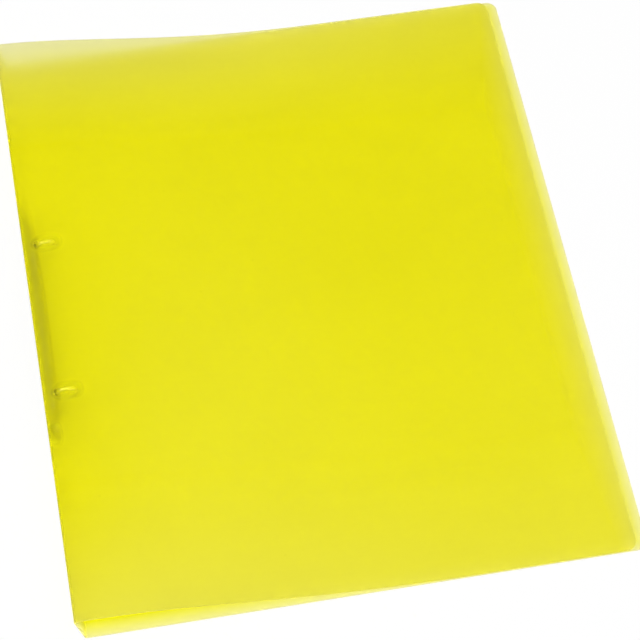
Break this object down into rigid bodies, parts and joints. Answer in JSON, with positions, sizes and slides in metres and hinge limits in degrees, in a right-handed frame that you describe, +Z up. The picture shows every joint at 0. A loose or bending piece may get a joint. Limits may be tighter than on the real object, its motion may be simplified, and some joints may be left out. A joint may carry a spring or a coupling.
{
  "type": "two-ring binder",
  "caption": "Translucent plastic ring binder with creased folds at the spine and a riveted steel ring mechanism whose half rings swing apart to take punched A4 sheets.",
  "frame": {"origin": "middle of the closed binder's box, on the surface it lies on", "axes": "+X from the spine to the fore-edge, +Y along the spine from its bottom to its top, +Z up through the front cover"},
  "size_m": [0.253, 0.312, 0.0196],
  "materials": {
    "cover_sheet": "satin translucent yellow polypropylene sheet",
    "hinge_web": "creased yellow polypropylene",
    "ring_wire": "bright nickel plate",
    "rail_steel": "nickel-plated pressed steel",
    "blade_steel": "zinc-plated steel strip",
    "rivet_metal": "bright nickel plate"
  },
  "bodies": {
    "back_cover": {"back_cover": "cover_sheet"},
    "spine": {"spine_panel": "cover_sheet", "front_hinge_web": "hinge_web", "back_hinge_web": "hinge_web", "ring_rail": "rail_steel", "lower_rivet": "rivet_metal", "upper_rivet": "rivet_metal"},
    "front_cover": {"front_cover": "cover_sheet"},
    "front_rings": {"front_blade": "blade_steel", "lower_front_half_ring": "ring_wire", "upper_front_half_ring": "ring_wire"},
    "back_rings": {"back_blade": "blade_steel", "lower_back_half_ring": "ring_wire", "upper_back_half_ring": "ring_wire"}
  },
  "joints": [
    {"name": "spine_fold", "type": "hinge", "parent": "back_cover", "child": "spine", "pos_m": [-0.12246, 0, 0.0004], "axis": [0, -1, 0], "range_deg": [0, 78]},
    {"name": "front_cover_fold", "type": "hinge", "parent": "spine", "child": "front_cover", "pos_m": [-0.12624, 0, 0.0182], "axis": [0, -1, 0], "range_deg": [0, 180]},
    {"name": "front_rings_swing", "type": "hinge", "parent": "spine", "child": "front_rings", "pos_m": [-0.12254, 0, 0.01112], "axis": [0, -1, 0], "range_deg": [0, 15]},
    {"name": "back_rings_swing", "type": "hinge", "parent": "spine", "child": "back_rings", "pos_m": [-0.12096, 0, 0.00368], "axis": [0, 1, 0], "range_deg": [0, 15]}
  ],
  "couplings": [
    {"joint": "back_rings_swing", "follows": "front_rings_swing", "ratio": 1}
  ]
}
